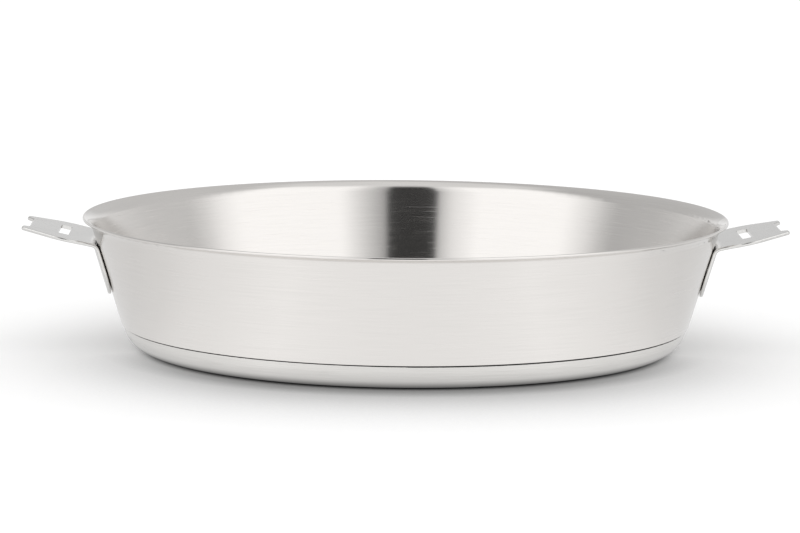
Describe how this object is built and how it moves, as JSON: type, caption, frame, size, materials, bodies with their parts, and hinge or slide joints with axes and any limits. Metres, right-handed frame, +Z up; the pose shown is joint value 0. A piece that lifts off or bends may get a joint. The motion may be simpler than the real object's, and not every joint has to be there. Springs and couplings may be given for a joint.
{
  "type": "frying pan",
  "caption": "Stainless steel frying pan with flared pouring lip, sandwich base and two slotted side brackets that take a clip-on removable handle.",
  "frame": {"origin": "middle of the underside of the base, on the surface that the pan stands on", "axes": "+Z up along the pan's axis, +X through the two brackets towards right_bracket"},
  "size_m": [0.354, 0.3, 0.061],
  "materials": {
    "pan_body_steel": "satin brushed round the axis, polished at the lip",
    "spreader_aluminium": "plain rolled",
    "base_cap_steel": "satin polished",
    "bracket_steel": "tumbled and polished",
    "weld_steel": "as welded"
  },
  "bodies": {
    "root": {"pan_body": "pan_body_steel", "heat_spreader_disc": "spreader_aluminium", "base_cap": "base_cap_steel", "left_bracket": "bracket_steel", "right_bracket": "bracket_steel", "left_bracket_welds": "weld_steel", "right_bracket_welds": "weld_steel"}
  },
  "joints": []
}
